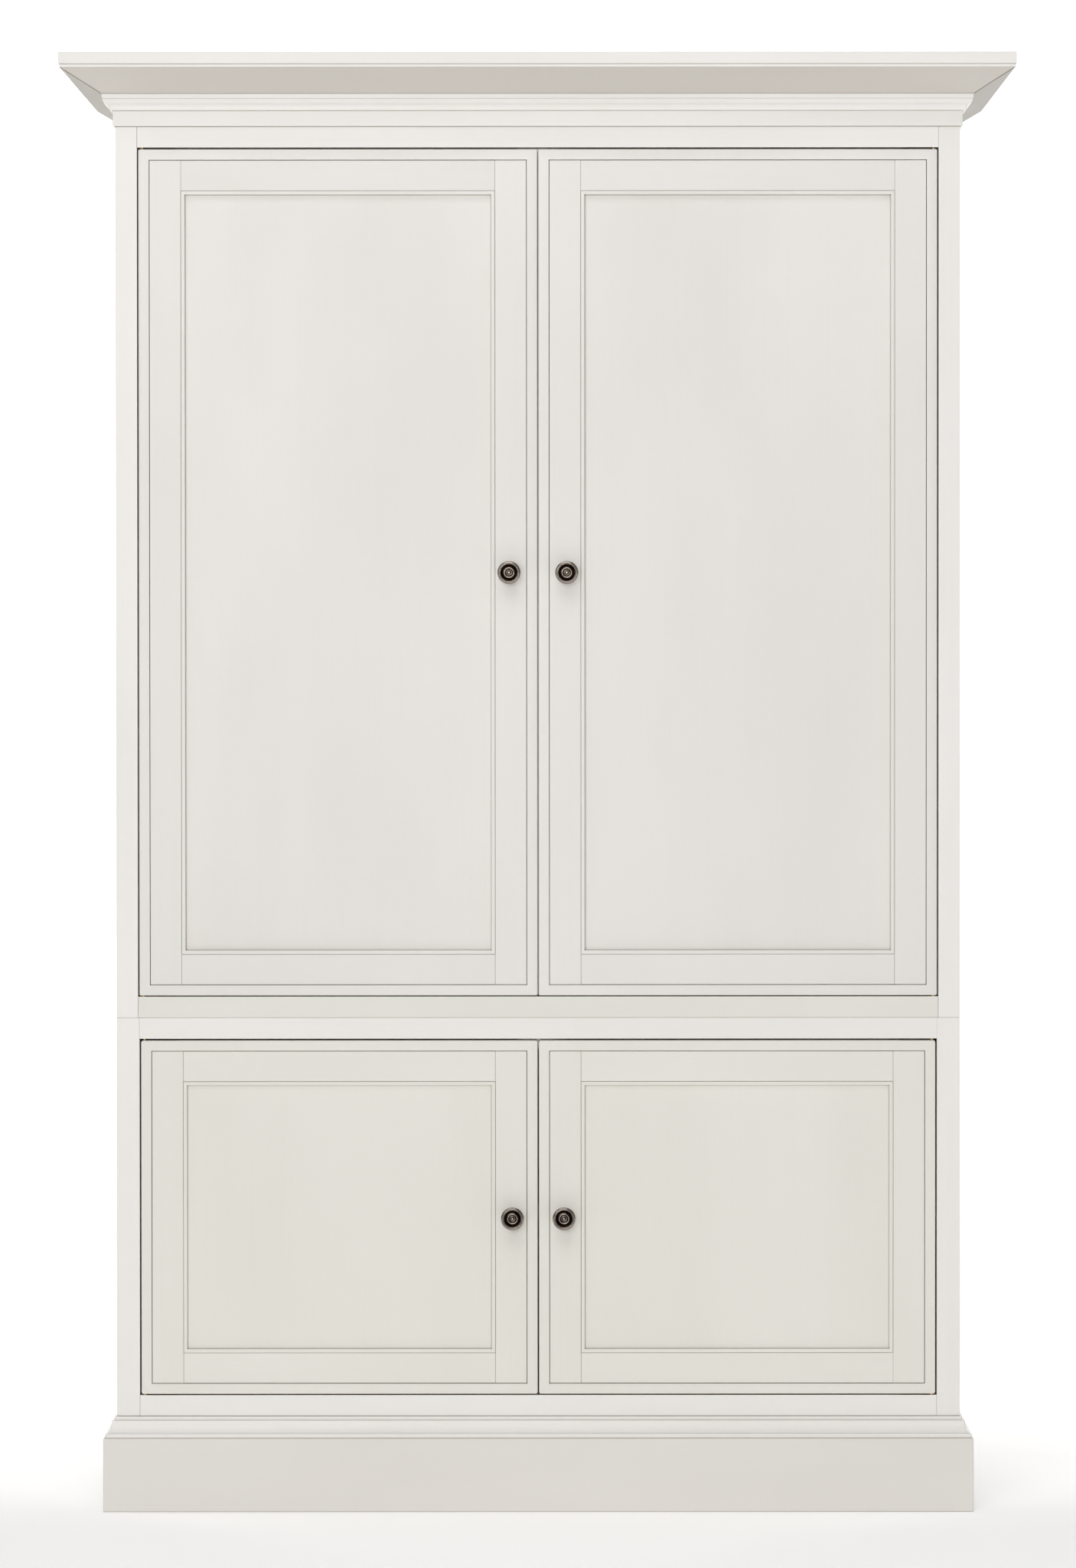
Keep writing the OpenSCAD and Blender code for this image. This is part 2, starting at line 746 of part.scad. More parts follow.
// ---- knobs ----
// Half outline of a knob, as radius and distance out from the stile: foot, neck, head,
// then the rings of its face down to the button in the middle
knob_r = knob_d / 2;
knob_back = knob_out - knob_rim_t;
knob_face = knob_out - knob_ease;
ring_r = knob_ring_d / 2;
button_r = knob_button_d / 2;
knob_half = [
    [0, 0],
    [knob_foot_d / 2, 0],
    [knob_foot_d / 2, knob_foot_t],
    [knob_neck_d / 2, knob_foot_t + knob_ease],
    [knob_neck_d / 2, knob_back - knob_flare],
    [knob_r - knob_ease, knob_back],
    [knob_r, knob_back + knob_ease],
    [knob_r, knob_face - knob_ease],
    [knob_r - knob_ease, knob_face],
    [knob_r - knob_rim_w, knob_face],
    [knob_r - knob_rim_w, knob_face - knob_groove],
    [ring_r, knob_face - knob_groove],
    [ring_r, knob_face - knob_ease / 2],
    [ring_r - knob_ease, knob_face],
    [button_r + knob_ease, knob_face],
    [button_r + knob_ease, knob_face - knob_groove],
    [button_r, knob_face - knob_groove],
    [button_r, knob_face],
    [button_r - knob_ease, knob_out],
    [0, knob_out]
];

module door_knob(level, side) {
    in_door(level, side) translate([knob_x(level), 0, knob_z(level)]) {
        pewter() translate([0, edge_bead_proud, 0]) rotate([90, 0, 0]) difference() {
            rotate_extrude() polygon(knob_half);
            translate([0, 0, -cut])
                cylinder(h = screw_bite + 2 * cut, d = knob_screw_d + 2 * nut_clearance);
        }
        steel() translate([0, door_t, 0]) rotate([90, 0, 0]) {
            translate([0, 0, -screw_head_t]) cylinder(h = screw_head_t, d = screw_head_d);
            cylinder(h = door_core_t + screw_bite, d = knob_screw_d);
        }
    }
}

// ---- crown ----
frieze_in = frieze_proud - frieze_t;
frieze_outline = rectangle(frieze_in, frieze_proud, z_frieze, z_top);

module frieze_boards() {
    painted() {
        front_moulding(frieze_outline, frieze_in, frieze_proud);
        both_sides() side_moulding(frieze_outline, frieze_in, frieze_proud);
        back_length(frieze_in, frieze_t, z_frieze, z_top);
    }
}

// The bead moulding fills the corner between the frieze and the slope: a fillet on top,
// a round under it, a hollow and a small fillet at the foot
z_round_top = z_slope - bead_fillet_h;
z_round_bottom = z_round_top - bead_round_h;
round_out = bead_out - bead_quirk;
foot_out = frieze_proud + bead_foot_proud;
bead_round = [for (i = [0 : arc_steps]) let (a = 90 * i / arc_steps)
    [round_out - round_run * (1 - cos(a)), z_round_top - bead_round_h * sin(a)]];
bead_outline = concat(
    [[frieze_proud, z_bead], [frieze_proud, slope_z(frieze_proud)], [bead_out, z_slope],
     [bead_out, z_round_top]],
    bead_round,
    [[foot_out, z_bead + bead_foot_h], [foot_out, z_bead]]
);

module bead_moulding() {
    painted() {
        front_moulding(bead_outline, frieze_proud, bead_out);
        both_sides() side_moulding(bead_outline, frieze_proud, bead_out);
    }
}

crown_outline = [
    [frieze_proud, slope_z(frieze_proud)],
    [lip_out, z_lip],
    [lip_out, z_top],
    [lip_out - (crown_t_up - lip_h) / slope, z_top],
    [frieze_proud, slope_z(frieze_proud) + crown_t_up]
];

module crown_moulding() {
    painted() {
        front_moulding(crown_outline, frieze_proud, lip_out);
        both_sides() side_moulding(crown_outline, frieze_proud, lip_out);
    }
}

module cornice_top() {
    painted() box([-total_w / 2, -total_d / 2, z_top], [total_w / 2, y_rear, z_top + top_t]);
}

// ---- parts ----
plinth_boards();
plinth_cap();
mirror([1, 0, 0]) case_side(LOWER);  // lower_left_side
case_side(LOWER);  // lower_right_side
case_top(LOWER);  // lower_top_panel
case_bottom(LOWER);  // lower_bottom_panel
case_back(LOWER);  // lower_back_panel
face_stiles(LOWER);  // lower_face_stiles
face_rails(LOWER);  // lower_face_rails
shelf(LOWER);  // lower_shelf
mirror([1, 0, 0]) case_side(UPPER);  // upper_left_side
case_side(UPPER);  // upper_right_side
case_top(UPPER);  // upper_top_panel
case_bottom(UPPER);  // upper_bottom_panel
case_back(UPPER);  // upper_back_panel
face_stiles(UPPER);  // upper_face_stiles
face_rails(UPPER);  // upper_face_rails
shelf(UPPER);  // upper_shelf
hanging_rod();
rod_sockets();
shelf_pins();
case_bolts();
hinge_plates();
magnetic_catches();
frieze_boards();
bead_moulding();
crown_moulding();
cornice_top();
door_stiles(UPPER, LEFT);  // upper_left_door_stiles
door_rails(UPPER, LEFT);  // upper_left_door_rails
door_panel(UPPER, LEFT);  // upper_left_door_panel
door_edge_bead(UPPER, LEFT);  // upper_left_door_edge_bead
door_panel_bead(UPPER, LEFT);  // upper_left_door_panel_bead
door_knob(UPPER, LEFT);  // upper_left_door_knob
door_hinge_leaves(UPPER, LEFT);  // upper_left_door_hinge_leaves
door_strike_plate(UPPER, LEFT);  // upper_left_door_strike_plate
door_stiles(UPPER, RIGHT);  // upper_right_door_stiles
door_rails(UPPER, RIGHT);  // upper_right_door_rails
door_panel(UPPER, RIGHT);  // upper_right_door_panel
door_edge_bead(UPPER, RIGHT);  // upper_right_door_edge_bead
door_panel_bead(UPPER, RIGHT);  // upper_right_door_panel_bead
door_knob(UPPER, RIGHT);  // upper_right_door_knob
door_hinge_leaves(UPPER, RIGHT);  // upper_right_door_hinge_leaves
door_strike_plate(UPPER, RIGHT);  // upper_right_door_strike_plate
door_stiles(LOWER, LEFT);  // lower_left_door_stiles
door_rails(LOWER, LEFT);  // lower_left_door_rails
door_panel(LOWER, LEFT);  // lower_left_door_panel
door_edge_bead(LOWER, LEFT);  // lower_left_door_edge_bead
door_panel_bead(LOWER, LEFT);  // lower_left_door_panel_bead
door_knob(LOWER, LEFT);  // lower_left_door_knob
door_hinge_leaves(LOWER, LEFT);  // lower_left_door_hinge_leaves
door_strike_plate(LOWER, LEFT);  // lower_left_door_strike_plate
door_stiles(LOWER, RIGHT);  // lower_right_door_stiles
door_rails(LOWER, RIGHT);  // lower_right_door_rails
door_panel(LOWER, RIGHT);  // lower_right_door_panel
door_edge_bead(LOWER, RIGHT);  // lower_right_door_edge_bead
door_panel_bead(LOWER, RIGHT);  // lower_right_door_panel_bead
door_knob(LOWER, RIGHT);  // lower_right_door_knob
door_hinge_leaves(LOWER, RIGHT);  // lower_right_door_hinge_leaves
door_strike_plate(LOWER, RIGHT);  // lower_right_door_strike_plate
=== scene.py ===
# %% [markdown]
# # A painted two-part armoire
# A tall cupboard stands on a low one. Both have a pair of inset frame-and-panel doors, and
# everything is painted the same warm off-white. The frame that is loaded first is the
# working model: its boards keep their place and size, and this lesson gives them soft edges
# and a finish, and builds the mouldings, beads and knobs in finer detail.

# %% Load the frame
import math

import bmesh
import bpy
from mathutils import Matrix, Vector


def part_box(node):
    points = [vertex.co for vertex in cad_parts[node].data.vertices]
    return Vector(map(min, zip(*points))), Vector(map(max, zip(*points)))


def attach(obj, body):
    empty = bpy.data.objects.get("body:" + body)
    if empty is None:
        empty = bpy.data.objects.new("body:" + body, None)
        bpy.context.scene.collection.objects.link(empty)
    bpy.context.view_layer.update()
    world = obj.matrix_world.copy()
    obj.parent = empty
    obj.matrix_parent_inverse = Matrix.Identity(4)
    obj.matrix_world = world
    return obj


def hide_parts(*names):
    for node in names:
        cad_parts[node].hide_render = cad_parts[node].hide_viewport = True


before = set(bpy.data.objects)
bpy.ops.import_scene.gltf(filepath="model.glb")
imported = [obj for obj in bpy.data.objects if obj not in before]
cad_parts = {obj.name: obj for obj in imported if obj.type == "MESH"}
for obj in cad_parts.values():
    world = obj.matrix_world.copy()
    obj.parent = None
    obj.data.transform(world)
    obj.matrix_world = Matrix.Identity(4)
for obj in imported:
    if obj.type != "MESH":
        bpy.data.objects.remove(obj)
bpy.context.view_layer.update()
MM = 0.001

# %% [markdown]
# ## Places that everything else is worked out from
# A cabinet maker measures from the case itself. The box of a few boards gives the planes
# that matter: the face of the case, its sides, its back, and the heights of each storey.

# %% Read the case from its boards
DOORS = ["upper_left_door", "upper_right_door", "lower_left_door", "lower_right_door"]

stile_low, stile_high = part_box("upper_face_stiles")
HALF_W = stile_high.x
FACE_Y = stile_low.y
top_low, top_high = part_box("cornice_top")
BACK_Y = top_high.y
print(f"case {2 * HALF_W:.3f} m wide, face at y {FACE_Y:.4f}, back at y {BACK_Y:.4f}")


# %% [markdown]
# ## Outlines with eased edges
# No painted edge on real joinery is a knife edge: sandpaper and paint round it off by half
# a millimetre or more, and that small round is what catches the light. Every outline below
# is drawn with sharp corners first. `eased` then swaps each corner for a short arc, which is
# easier to read than drawing the arcs by hand.

# %% Ease the corners of an outline
def eased(points, radii, steps=4):
    """The closed outline with an arc of the given radius at each corner; 0 leaves it sharp."""
    made = []
    count = len(points)
    for i, here in enumerate(points):
        here = Vector(here)
        before = Vector(points[i - 1]) - here
        after = Vector(points[(i + 1) % count]) - here
        radius = radii[i] if isinstance(radii, (list, tuple)) else radii
        half = before.angle(after) / 2
        cut = radius / math.tan(half) if half > 0.01 else 0
        cut = min(cut, before.length * 0.48, after.length * 0.48)
        if cut < 1e-6 or half > math.radians(88):
            made.append(here)
            continue
        start = here + before.normalized() * cut
        end = here + after.normalized() * cut
        for k in range(steps + 1):
            t = k / steps
            made.append(start * (1 - t) ** 2 + here * 2 * t * (1 - t) + end * t ** 2)
    return made


print("a square eased by 1:", len(eased([(0, 0), (9, 0), (9, 9), (0, 9)], 1)), "points")


# %% [markdown]
# ## Meshes that are swept, and meshes that are turned
# Mouldings and beads are planed along their length, so each is one outline swept along a
# path. Knobs are turned or cast round an axis, so each is one outline swept round a circle.
# Both come from rings of points joined by faces, and one helper does the joining.

# %% Build a mesh from rings of points
def object_from(mesh_builder, name, smooth_angle=35):
    """A finished object from a bmesh, smooth except where two faces meet sharply."""
    bmesh.ops.remove_doubles(mesh_builder, verts=mesh_builder.verts, dist=2e-6)
    bmesh.ops.dissolve_degenerate(mesh_builder, edges=mesh_builder.edges, dist=2e-6)
    bmesh.ops.recalc_face_normals(mesh_builder, faces=mesh_builder.faces)
    mesh = bpy.data.meshes.new(name)
    mesh_builder.to_mesh(mesh)
    mesh_builder.free()
    for face in mesh.polygons:
        face.use_smooth = True
    mesh.set_sharp_from_angle(angle=math.radians(smooth_angle))
    made = bpy.data.objects.new(name, mesh)
    bpy.context.scene.collection.objects.link(made)
    return made


def join_rings(mesh_builder, rings, closed):
    """Faces between neighbouring rings; the last joins the first if the path is closed."""
    rows = [[mesh_builder.verts.new(p) for p in ring] for ring in rings]
    pairs = list(zip(rows, rows[1:] + rows[:1])) if closed else list(zip(rows, rows[1:]))
    for low, high in pairs:
        for i in range(len(low)):
            j = (i + 1) % len(low)
            mesh_builder.faces.new((low[i], low[j], high[j], high[i]))
    if not closed:
        mesh_builder.faces.new(rows[0])
        mesh_builder.faces.new(list(reversed(rows[-1])))


# %% [markdown]
# ## The camera
# The armoire is seen almost square on, from chest height about eight metres away through a
# long lens. A long lens is what keeps the sides from showing and the uprights parallel. The
# camera tips down by three quarters of a degree, and a small lens shift centres the view.

# %% Set the camera
CAMERA_AT = Vector((0.0383, -8.277, 1.2599))
LENS_MM = 125.1
TURN = -0.0002
TIP = -0.0133
ROLL = 0.0005
SENSOR_MM = 36.0
SHIFT_ACROSS = -0.0173
SHIFT_UP = -0.0352

camera_data = bpy.data.cameras.new("camera")
camera_data.lens = LENS_MM
camera_data.sensor_width = SENSOR_MM
camera_data.shift_x = SHIFT_ACROSS
camera_data.shift_y = SHIFT_UP
camera_data.clip_end = 100.0
camera = bpy.data.objects.new("camera", camera_data)
camera.rotation_mode = "QUATERNION"
level_view = Matrix.Rotation(math.radians(90), 3, "X")
aim = Matrix.Rotation(TURN, 3, "Z") @ Matrix.Rotation(TIP, 3, "X") @ Matrix.Rotation(ROLL, 3, "Y")
camera.rotation_quaternion = (aim @ level_view).to_quaternion()
camera.location = CAMERA_AT
bpy.context.scene.collection.objects.link(camera)
bpy.context.scene.camera = camera
print("camera", round((CAMERA_AT - Vector((0, FACE_Y, 1))).length, 2), "m from the doors")

# %% [markdown]
# ## Light and floor
# A furniture studio lights white paint with large soft boxes and a pale sweep, so nothing
# burns out and the recesses still read. Here the pale world gives a little even light, a broad
# key box far in front lights the doors, one wide box above the front draws the small shadows
# under every edge, and a weaker box on each side shades the reveals. Two more boxes whiten the
# backdrop and two the ground. The floor curves up into the backdrop, so no horizon shows. The
# lamps leave the ground behind the case dull, so the floor glows, and more at the back.

# %% Light the studio
scene = bpy.context.scene
scene.view_settings.view_transform = "Standard"
scene.view_settings.look = "None"

WORLD_LIGHT = 0.16
OVERHEAD_WATTS = 150.0
LEFT_WATTS = 6.0
RIGHT_WATTS = 9.0
KEY_WATTS = 242.0
BACKDROP_WATTS = 260.0
FLOOR_WATTS = 24.0

world = bpy.data.worlds.new("studio")
world.use_nodes = True
world.node_tree.nodes["Background"].inputs["Color"].default_value = (1.0, 1.0, 1.0, 1)
world.node_tree.nodes["Background"].inputs["Strength"].default_value = WORLD_LIGHT
scene.world = world


def soft_box(name, at, towards, width, height, watts):
    """A rectangular studio light that faces a point."""
    data = bpy.data.lights.new(name, "AREA")
    data.shape = "RECTANGLE"
    data.size = width
    data.size_y = height
    data.energy = watts
    box = bpy.data.objects.new(name, data)
    box.location = at
    box.rotation_mode = "QUATERNION"
    box.rotation_quaternion = (Vector(towards) - Vector(at)).to_track_quat("-Z", "Y")
    scene.collection.objects.link(box)
    return box


DOOR_HEIGHT = (0, FACE_Y, 1.1)
soft_box("key", (-1.4, -9.6, 2.5), DOOR_HEIGHT, 5.0, 2.6, KEY_WATTS)
soft_box("overhead_front", (-0.6, -5.0, 6.6), DOOR_HEIGHT, 5.0, 4.0, OVERHEAD_WATTS)
soft_box("left_front", (-4.6, -4.6, 1.8), DOOR_HEIGHT, 1.6, 3.0, LEFT_WATTS)
soft_box("right_front", (4.6, -4.6, 1.8), DOOR_HEIGHT, 1.6, 3.0, RIGHT_WATTS)
BACKDROP_Y = 13.0
for side in (-1, 1):
    soft_box(f"backdrop_{side}", (side * 5.0, 8.6, 4.6), (side * 2.0, BACKDROP_Y, 1.5),
             3.0, 3.0, BACKDROP_WATTS)
    soft_box(f"floor_{side}", (side * 3.4, 0.5, 3.6), (side * 1.3, -0.3, 0.0),
             2.0, 2.0, FLOOR_WATTS)


# %% Lay the sweep
def sweep(name, front, wall, height, half_width, bend, steps=16):
    """A floor that curves up into a backdrop."""
    mesh_builder = bmesh.new()
    path = [(front, 0.0), (wall - bend, 0.0)]
    for k in range(1, steps + 1):
        a = math.radians(90 * k / steps)
        path.append((wall - bend + bend * math.sin(a), bend * (1 - math.cos(a))))
    path.append((wall, height))
    rows = [[mesh_builder.verts.new((x, y, z)) for x in (-half_width, half_width)]
            for y, z in path]
    for low, high in zip(rows, rows[1:]):
        mesh_builder.faces.new((low[0], low[1], high[1], high[0]))
    return object_from(mesh_builder, name, 60)


GLOW_IN_FRONT = 0.24
GLOW_BEHIND = 0.57
floor = sweep("floor", front=-14.0, wall=BACKDROP_Y, height=9.0, half_width=14.0, bend=2.5)
floor_paint = bpy.data.materials.new("floor_paint")
floor_paint.use_nodes = True
floor_tree = floor_paint.node_tree
floor_shader = floor_tree.nodes["Principled BSDF"]
floor_shader.inputs["Base Color"].default_value = (0.93, 0.925, 0.915, 1)
floor_shader.inputs["Roughness"].default_value = 0.9
floor_shader.inputs["Specular IOR Level"].default_value = 0.1
floor_shader.inputs["Emission Color"].default_value = (1, 1, 1, 1)
floor_place = floor_tree.nodes.new("ShaderNodeTexCoord")
floor_axes = floor_tree.nodes.new("ShaderNodeSeparateXYZ")
floor_glow = floor_tree.nodes.new("ShaderNodeMapRange")
floor_glow.inputs["From Min"].default_value = FACE_Y - 0.2
floor_glow.inputs["From Max"].default_value = BACK_Y + 0.6
floor_glow.inputs["To Min"].default_value = GLOW_IN_FRONT
floor_glow.inputs["To Max"].default_value = GLOW_BEHIND
floor_tree.links.new(floor_place.outputs["Object"], floor_axes.inputs[0])
floor_tree.links.new(floor_axes.outputs["Y"], floor_glow.inputs["Value"])
floor_tree.links.new(floor_glow.outputs["Result"], floor_shader.inputs["Emission Strength"])
floor.data.materials.append(floor_paint)
print("sweep laid")


# %% [markdown]
# ## Painted wood
# Off-white satin paint, brushed or rolled on by hand, is never one flat colour. It has faint
# streaks along the board, slow cloudy changes of warmth, and a slightly darker, browner line
# where glaze has settled into every joint. The streaks are noise stretched along the board,
# and the clouds are wide noise. The browner line is ambient occlusion over a few millimetres,
# so it is partly glaze and partly painted shade that darkens every corner, recess and gap.
# The same streaks tilt the surface a very little, which breaks up the shine.
# The tone is set board by board to match how the piece looks, so part of the difference
# between boards is really light and not paint. Both ends of a moulding share one paint.

# %% Mix the paint
def add(tree, kind, **inputs):
    """A shader node with some of its inputs set."""
    node = tree.nodes.new(kind)
    for key, value in inputs.items():
        node.inputs[key.replace("_", " ")].default_value = value
    return node


def stretched_noise(tree, along, fine, long, offset, detail=3.0):
    """Noise drawn out along one axis: fine across the board and long with it."""
    place = add(tree, "ShaderNodeTexCoord")
    stretch = add(tree, "ShaderNodeMapping")
    stretch.inputs["Scale"].default_value = [long if axis == along else fine for axis in "XYZ"]
    stretch.inputs["Location"].default_value = (offset, offset * 0.7, offset * 1.3)
    noise = add(tree, "ShaderNodeTexNoise", Scale=1.0, Detail=detail, Roughness=0.55)
    tree.links.new(place.outputs["Object"], stretch.inputs["Vector"])
    tree.links.new(stretch.outputs["Vector"], noise.inputs["Vector"])
    return noise.outputs["Fac"]


def tinted(tree, colour_socket, factor_socket, tint, strength):
    """The colour so far, multiplied towards a tint by a factor from 0 to 1."""
    scale = add(tree, "ShaderNodeMath")
    scale.operation = "MULTIPLY"
    scale.inputs[1].default_value = strength
    tree.links.new(factor_socket, scale.inputs[0])
    mix = tree.nodes.new("ShaderNodeMix")
    mix.data_type = "RGBA"
    mix.blend_type = "MULTIPLY"
    mix.inputs["B"].default_value = (*tint, 1)
    tree.links.new(colour_socket, mix.inputs["A"])
    tree.links.new(scale.outputs[0], mix.inputs["Factor"])
    return mix.outputs["Result"]


def ramp(tree, factor_socket, low, high):
    """A factor stretched so that low becomes 0 and high becomes 1."""
    node = add(tree, "ShaderNodeMapRange")
    node.inputs["From Min"].default_value = low
    node.inputs["From Max"].default_value = high
    tree.links.new(factor_socket, node.inputs["Value"])
    return node.outputs["Result"]


CLOUD_TINT = (0.955, 0.96, 0.95)
STREAK_TINT = (0.965, 0.96, 0.955)
STREAK_STRENGTH = 0.22
DULL_TINT = (0.905, 0.914, 0.876)
# Glaze in the joints and painted shade in corners, recesses and gaps: a browner tint over ambient
# occlusion.
GLAZE_AND_SHADE_TINT = (0.42, 0.36, 0.30)
GLAZE_AND_SHADE_REACH = 2 * MM


def painted_wood(name, along, colour, glaze_and_shade=0.9, offset=0.0, shine=0.36, dull_below=None):
    """Satin paint on a board that runs along the X, Y or Z axis, duller below a height."""
    paint = bpy.data.materials.new(name)
    paint.use_nodes = True
    tree = paint.node_tree
    shader = tree.nodes["Principled BSDF"]
    base = add(tree, "ShaderNodeRGB")
    base.outputs[0].default_value = (*colour, 1)

    clouds = stretched_noise(tree, along, 5.0, 1.6, offset + 3.0, detail=2.0)
    streaks = stretched_noise(tree, along, 260.0, 2.5, offset)
    toned = tinted(tree, base.outputs[0], ramp(tree, clouds, 0.35, 0.7), CLOUD_TINT, 1.0)
    toned = tinted(tree, toned, ramp(tree, streaks, 0.45, 0.75), STREAK_TINT, STREAK_STRENGTH)

    if dull_below is not None:
        place = add(tree, "ShaderNodeTexCoord")
        split = add(tree, "ShaderNodeSeparateXYZ")
        tree.links.new(place.outputs["Object"], split.inputs["Vector"])
        dulled = ramp(tree, split.outputs["Z"], dull_below + 2 * MM, dull_below)
        toned = tinted(tree, toned, dulled, DULL_TINT, 1.0)

    # Partly glaze and partly painted shade: ambient occlusion darkens every corner, recess and gap.
    corners = add(tree, "ShaderNodeAmbientOcclusion", Distance=GLAZE_AND_SHADE_REACH)
    corners.samples = 6
    glaze_and_shade_mask = ramp(tree, corners.outputs["AO"], 0.93, 0.45)
    toned = tinted(tree, toned, glaze_and_shade_mask, GLAZE_AND_SHADE_TINT, glaze_and_shade)
    tree.links.new(toned, shader.inputs["Base Color"])

    gloss = add(tree, "ShaderNodeMapRange")
    gloss.inputs["To Min"].default_value = shine - 0.05
    gloss.inputs["To Max"].default_value = shine + 0.09
    tree.links.new(clouds, gloss.inputs["Value"])
    tree.links.new(gloss.outputs["Result"], shader.inputs["Roughness"])

    relief = add(tree, "ShaderNodeBump", Strength=0.06, Distance=0.0004)
    tree.links.new(streaks, relief.inputs["Height"])
    tree.links.new(relief.outputs["Normal"], shader.inputs["Normal"])
    shader.inputs["Specular IOR Level"].default_value = 0.35
    return paint


CASE_WHITE = (0.905, 0.880, 0.850)
PLINTH_WHITE = (0.800, 0.770, 0.728)
# The crown's two paints are painted shade: darker tones for its down-facing slope, darkest on the
# returns at the sides.
CROWN_SHADE_WHITE = (0.690, 0.650, 0.604)
CROWN_RETURN_SHADE_WHITE = (0.530, 0.500, 0.465)
# Painted light: the bead's front is painted lighter than the case, so it stays bright in the crown's
# shade.
BEAD_LIT_WHITE = (0.940, 0.915, 0.885)
BEAD_RETURN_WHITE = (0.900, 0.870, 0.835)
DOOR_WHITE = (0.840, 0.815, 0.780)
LOWER_WHITE = (0.845, 0.820, 0.762)
INSIDE_WHITE = (0.80, 0.765, 0.70)
upright_paint = painted_wood("paint_upright", "Z", CASE_WHITE)
level_paint = painted_wood("paint_level", "X", CASE_WHITE, offset=7.0)
return_paint = painted_wood("paint_return", "Y", CASE_WHITE, offset=13.0)
UPPER_RAIL_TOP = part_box("upper_face_rails")[0].z + 0.1
upper_rail_paint = painted_wood("paint_upper_rails", "X", CASE_WHITE, offset=9.0,
                                dull_below=UPPER_RAIL_TOP)
plinth_level = painted_wood("paint_plinth", "X", PLINTH_WHITE, offset=59.0)
# Painted shade on the crown's underside, front and side returns.
crown_underside_shade = painted_wood("paint_crown_level", "X", CROWN_SHADE_WHITE, offset=47.0)
crown_return_shade = painted_wood("paint_crown_return", "Y", CROWN_RETURN_SHADE_WHITE, offset=53.0, shine=0.6)
crown_return_shade.node_tree.nodes["Principled BSDF"].inputs["Specular IOR Level"].default_value = 0.12
# Painted light on the bead's front.
bead_painted_light = painted_wood("paint_bead", "X", BEAD_LIT_WHITE, offset=61.0)
bead_return = painted_wood("paint_bead_return", "Y", BEAD_RETURN_WHITE, offset=67.0)
door_upright = painted_wood("paint_door_upright", "Z", DOOR_WHITE, offset=31.0)
door_level = painted_wood("paint_door_level", "X", DOOR_WHITE, offset=37.0)
lower_upright = painted_wood("paint_lower_upright", "Z", LOWER_WHITE, offset=41.0)
lower_level = painted_wood("paint_lower_level", "X", LOWER_WHITE, offset=43.0)
inner_level_paint = painted_wood("paint_inner_level", "X", INSIDE_WHITE, offset=21.0, shine=0.5)
inner_upright_paint = painted_wood("paint_inner_upright", "Z", INSIDE_WHITE, offset=27.0, shine=0.5)
print("paints mixed:", len(bpy.data.materials))


# %% [markdown]
# ## Metals
# The knobs are dark antique pewter, with darker hollows where old polish has gathered. The
# darkening follows ambient occlusion over a few millimetres, so it finds the grooves by
# itself, and a fine mottle varies the tone and the gloss. The hinge leaves and plates are
# satin brass. The rod and its sockets, the shelf pins, bolts, catches and strike plates are
# plain steel with fine brushed lines.

# %% Mix the metals
def brushed_metal(name, colour, roughness, along="X"):
    """Plain metal with fine lines along one axis."""
    metal = bpy.data.materials.new(name)
    metal.use_nodes = True
    tree = metal.node_tree
    shader = tree.nodes["Principled BSDF"]
    shader.inputs["Metallic"].default_value = 1.0
    base = add(tree, "ShaderNodeRGB")
    base.outputs[0].default_value = (*colour, 1)
    lines = stretched_noise(tree, along, 900.0, 12.0, 2.0)
    spots = stretched_noise(tree, along, 90.0, 60.0, 5.0)
    toned = tinted(tree, base.outputs[0], ramp(tree, spots, 0.45, 0.7), (0.80, 0.77, 0.74), 0.6)
    tree.links.new(toned, shader.inputs["Base Color"])
    gloss = add(tree, "ShaderNodeMapRange")
    gloss.inputs["To Min"].default_value = roughness - 0.08
    gloss.inputs["To Max"].default_value = roughness + 0.10
    tree.links.new(lines, gloss.inputs["Value"])
    tree.links.new(gloss.outputs["Result"], shader.inputs["Roughness"])
    relief = add(tree, "ShaderNodeBump", Strength=0.10, Distance=0.0001)
    tree.links.new(lines, relief.inputs["Height"])
    tree.links.new(relief.outputs["Normal"], shader.inputs["Normal"])
    return metal


PEWTER = (0.33, 0.295, 0.262)
PEWTER_MOTTLE = (0.72, 0.68, 0.64)
PEWTER_HOLLOW = (0.40, 0.35, 0.31)


def antique_pewter(name):
    """Dark cast metal, browner and duller where the surface is hollow."""
    pewter = bpy.data.materials.new(name)
    pewter.use_nodes = True
    tree = pewter.node_tree
    shader = tree.nodes["Principled BSDF"]
    shader.inputs["Metallic"].default_value = 1.0
    corners = add(tree, "ShaderNodeAmbientOcclusion", Distance=5 * MM)
    corners.samples = 12
    hollow = ramp(tree, corners.outputs["AO"], 0.92, 0.35)
    base = add(tree, "ShaderNodeRGB")
    base.outputs[0].default_value = (*PEWTER, 1)
    mottle = stretched_noise(tree, "Y", 420.0, 420.0, 4.0)
    toned = tinted(tree, base.outputs[0], ramp(tree, mottle, 0.4, 0.7), PEWTER_MOTTLE, 0.7)
    toned = tinted(tree, toned, hollow, PEWTER_HOLLOW, 1.0)
    tree.links.new(toned, shader.inputs["Base Color"])
    gloss = add(tree, "ShaderNodeMapRange")
    gloss.inputs["To Min"].default_value = 0.12
    gloss.inputs["To Max"].default_value = 0.22
    tree.links.new(mottle, gloss.inputs["Value"])
    tree.links.new(gloss.outputs["Result"], shader.inputs["Roughness"])
    relief = add(tree, "ShaderNodeBump", Strength=0.15, Distance=0.0001)
    tree.links.new(mottle, relief.inputs["Height"])
    tree.links.new(relief.outputs["Normal"], shader.inputs["Normal"])
    return pewter


